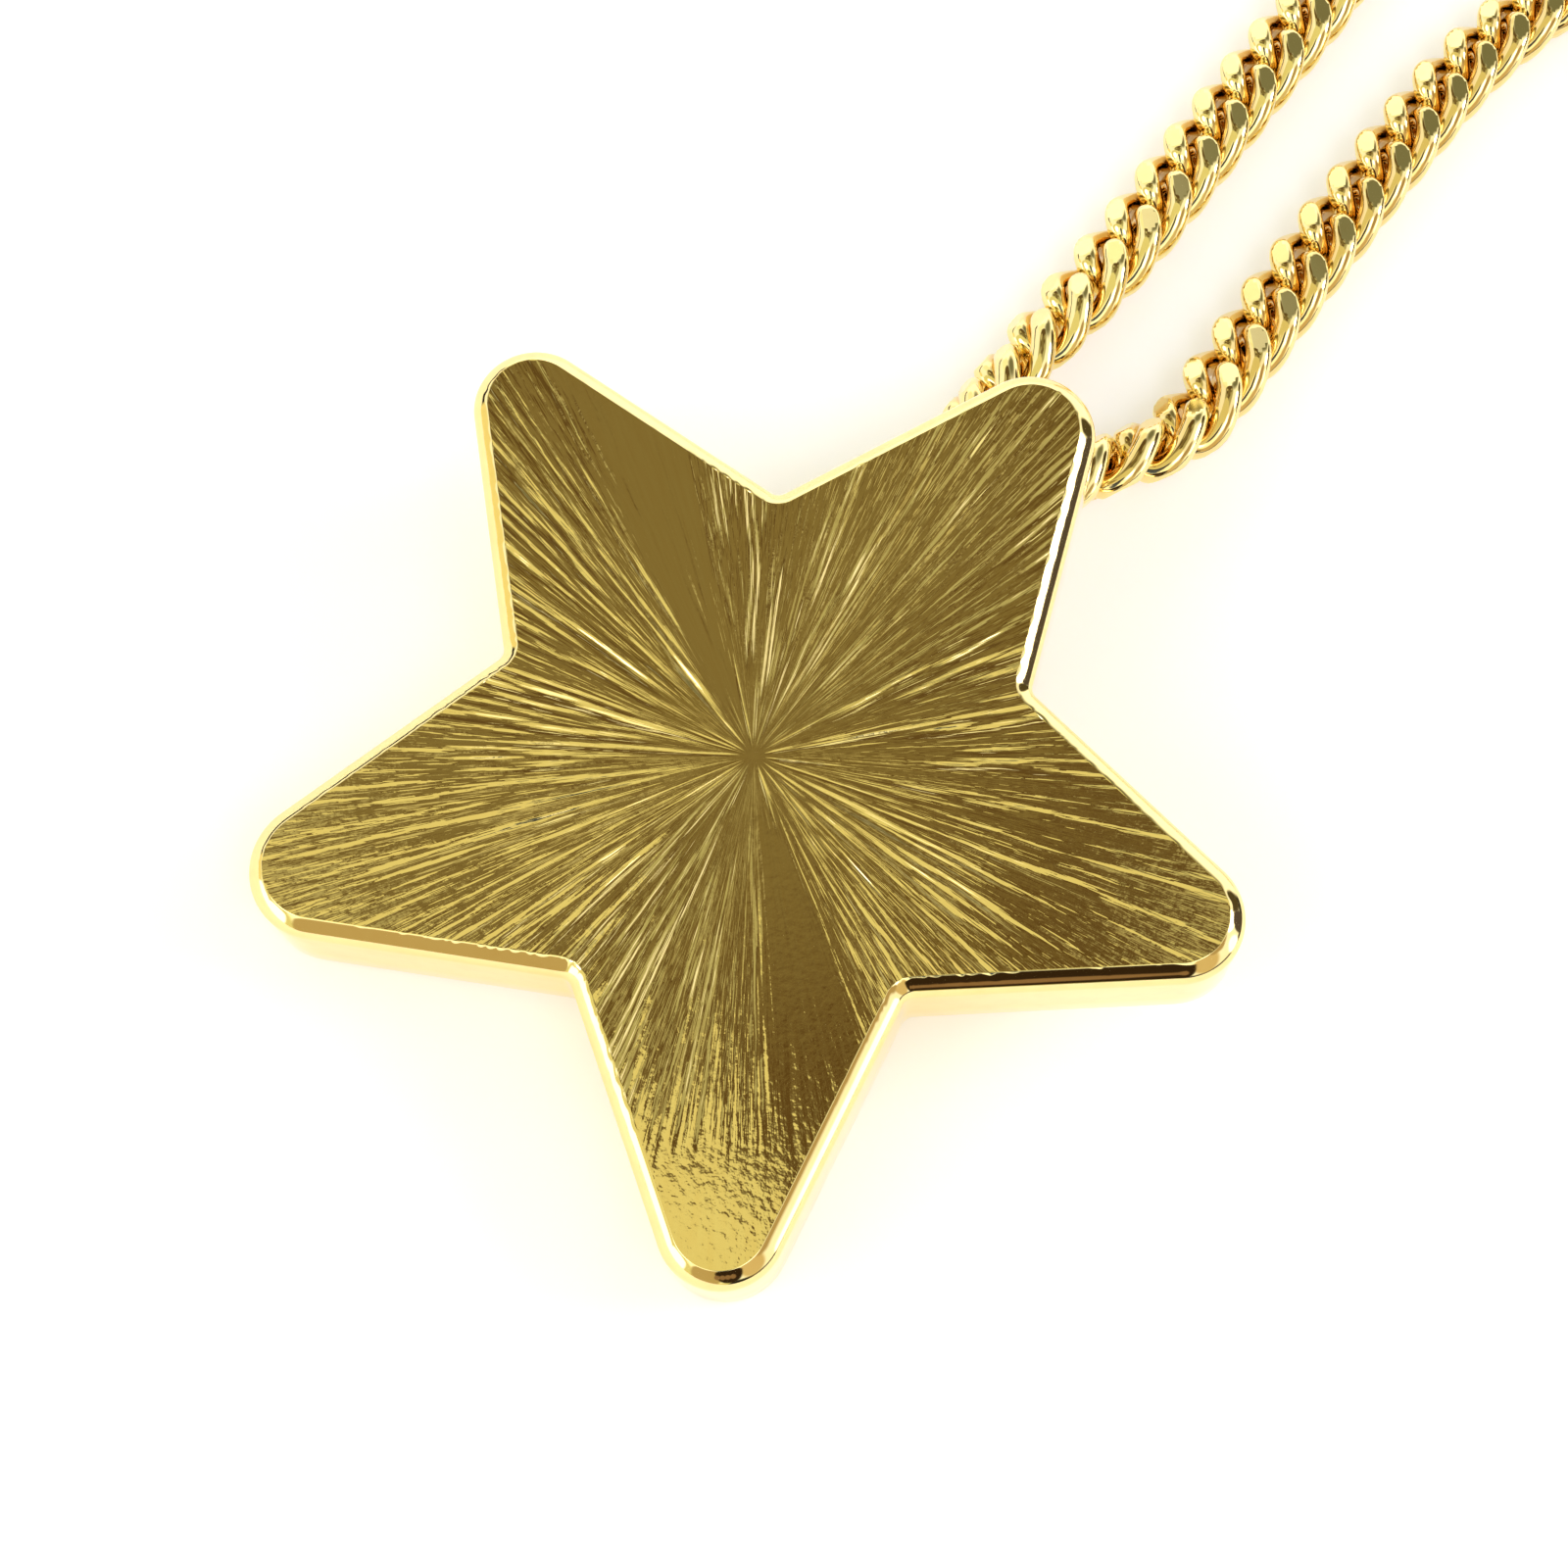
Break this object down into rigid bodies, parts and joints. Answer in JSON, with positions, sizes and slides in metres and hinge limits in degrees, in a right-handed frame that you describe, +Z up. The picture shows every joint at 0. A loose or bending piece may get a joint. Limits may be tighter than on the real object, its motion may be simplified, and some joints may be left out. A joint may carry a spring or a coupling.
{
  "type": "star pendant necklace",
  "caption": "Gold star pendant with an engraved sunburst face and polished rounded rim, threaded on a curb chain loop that closes at a plain barrel clasp.",
  "frame": {"origin": "under the middle of the laid necklace's bounding box, on the surface that it lies on", "axes": "+Z up from the surface; +Y along the necklace from the star to the clasp; +X to the right, seen from above with the clasp away from the viewer"},
  "size_m": [0.0945, 0.214, 0.0097],
  "materials": {
    "star_gold": "polished gold plating with hand-engraved cuts on the face",
    "chain_gold": "polished gold plating",
    "clasp_gold": "polished gold plating"
  },
  "bodies": {
    "root": {"star_pendant": "star_gold", "chain": "chain_gold", "clasp": "clasp_gold"}
  },
  "joints": []
}
